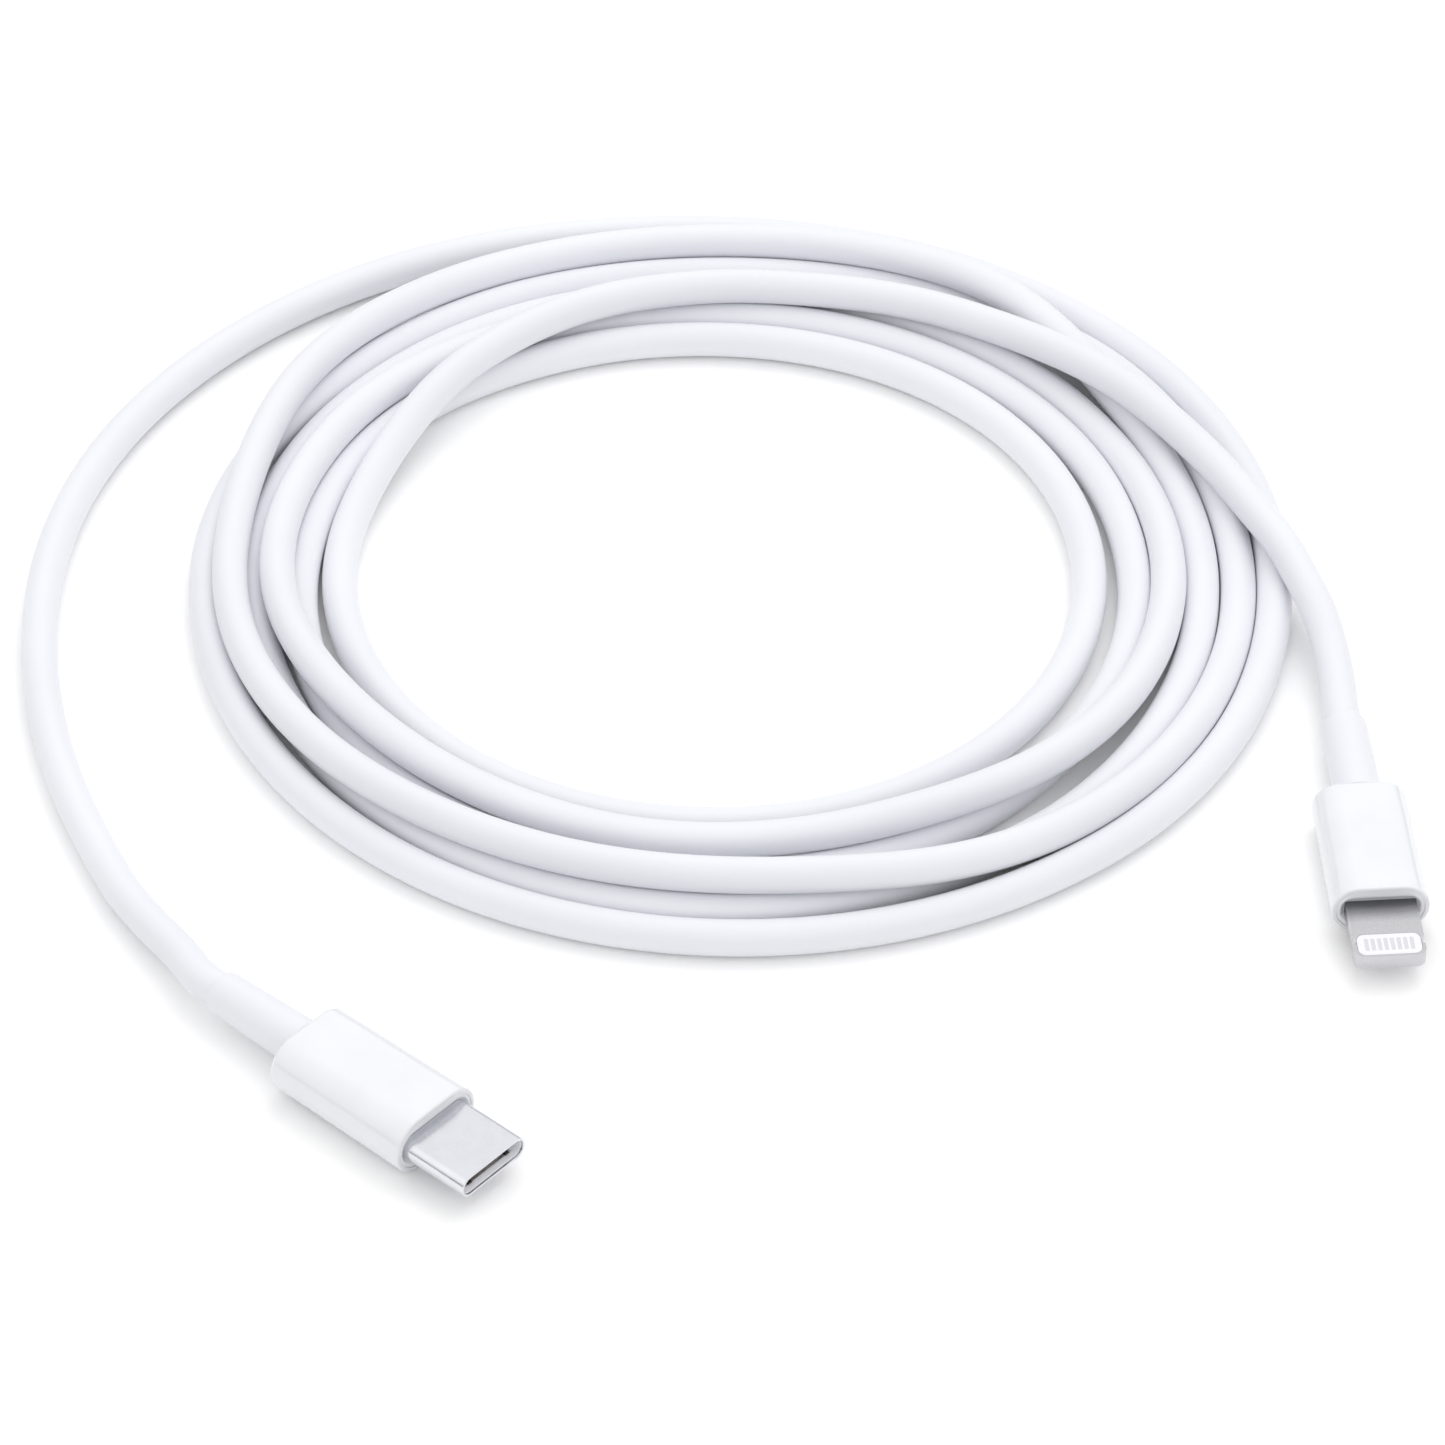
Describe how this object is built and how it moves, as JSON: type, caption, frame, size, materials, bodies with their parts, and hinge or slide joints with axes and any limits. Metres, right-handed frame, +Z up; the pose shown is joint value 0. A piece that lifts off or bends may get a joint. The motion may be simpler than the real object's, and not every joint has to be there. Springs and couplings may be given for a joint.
{
  "type": "charging cable",
  "caption": "White charging cable wound in a loose coil, with a reversible stadium-shaped shell plug at one end and a reversible flat tab plug at the other.",
  "frame": {"origin": "On the table, under the middle of the box round the two plugs.", "axes": "+X runs from the shell plug towards the tab plug, +Y runs from the plugs towards the coil's far side, and +Z is up from the table."},
  "size_m": [0.1351, 0.1424, 0.009],
  "materials": {
    "white_gloss_plastic": "gloss",
    "white_matt_elastomer": "matt",
    "pale_grey_plastic": "satin",
    "polished_steel": "polished",
    "satin_steel": "satin",
    "spring_steel": "satin",
    "carrier_plastic": "satin",
    "plated_contact": "plated",
    "gold_contact": "plated",
    "board_laminate": "satin",
    "chip_resin": "matt",
    "tinned_steel": "satin",
    "wire_red": "satin",
    "wire_black": "satin",
    "wire_green": "satin",
    "wire_white": "satin"
  },
  "bodies": {
    "cable": {"cord_coil": "white_matt_elastomer", "cord_tab_tail": "white_matt_elastomer", "cord_type_c_tail": "white_matt_elastomer", "tab_board": "board_laminate", "tab_contact_bottom_1": "plated_contact", "tab_contact_bottom_2": "plated_contact", "tab_contact_bottom_3": "plated_contact", "tab_contact_bottom_4": "plated_contact", "tab_contact_bottom_5": "plated_contact", "tab_contact_bottom_6": "plated_contact", "tab_contact_bottom_7": "plated_contact", "tab_contact_bottom_8": "plated_contact", "tab_contact_carrier": "carrier_plastic", "tab_contact_top_1": "plated_contact", "tab_contact_top_2": "plated_contact", "tab_contact_top_3": "plated_contact", "tab_contact_top_4": "plated_contact", "tab_contact_top_5": "plated_contact", "tab_contact_top_6": "plated_contact", "tab_contact_top_7": "plated_contact", "tab_contact_top_8": "plated_contact", "tab_controller_chip": "chip_resin", "tab_frame": "satin_steel", "tab_housing": "white_gloss_plastic", "tab_nose_ring": "pale_grey_plastic", "tab_shield_can": "tinned_steel", "tab_strain_relief": "white_matt_elastomer", "tab_wire_black": "wire_black", "tab_wire_green": "wire_green", "tab_wire_red": "wire_red", "tab_wire_white": "wire_white", "type_c_board": "board_laminate", "type_c_contact_carrier": "carrier_plastic", "type_c_contact_lower_01": "gold_contact", "type_c_contact_lower_04": "gold_contact", "type_c_contact_lower_05": "gold_contact", "type_c_contact_lower_09": "gold_contact", "type_c_contact_lower_12": "gold_contact", "type_c_contact_upper_01": "gold_contact", "type_c_contact_upper_04": "gold_contact", "type_c_contact_upper_05": "gold_contact", "type_c_contact_upper_06": "gold_contact", "type_c_contact_upper_07": "gold_contact", "type_c_contact_upper_09": "gold_contact", "type_c_contact_upper_12": "gold_contact", "type_c_controller_chip": "chip_resin", "type_c_ground_spring_bottom": "spring_steel", "type_c_ground_spring_top": "spring_steel", "type_c_housing": "white_gloss_plastic", "type_c_nose_ring": "pale_grey_plastic", "type_c_row_spacer": "carrier_plastic", "type_c_shell": "polished_steel", "type_c_shield_can": "tinned_steel", "type_c_strain_relief": "white_matt_elastomer", "type_c_wire_black": "wire_black", "type_c_wire_green": "wire_green", "type_c_wire_red": "wire_red", "type_c_wire_white": "wire_white"},
    "latch_left": {"type_c_latch_left": "spring_steel"},
    "latch_right": {"type_c_latch_right": "spring_steel"}
  },
  "joints": [
    {"name": "latch_left_flex", "type": "hinge", "parent": "cable", "child": "latch_left", "pos_m": [-0.03566, -0.01904, 0.003], "axis": [0, 0, 1], "range_deg": [0, 2], "stiffness_Nm_per_rad": 0.00005},
    {"name": "latch_right_flex", "type": "hinge", "parent": "cable", "child": "latch_right", "pos_m": [-0.03969, -0.02359, 0.003], "axis": [0, 0, -1], "range_deg": [0, 2], "stiffness_Nm_per_rad": 0.00005}
  ]
}
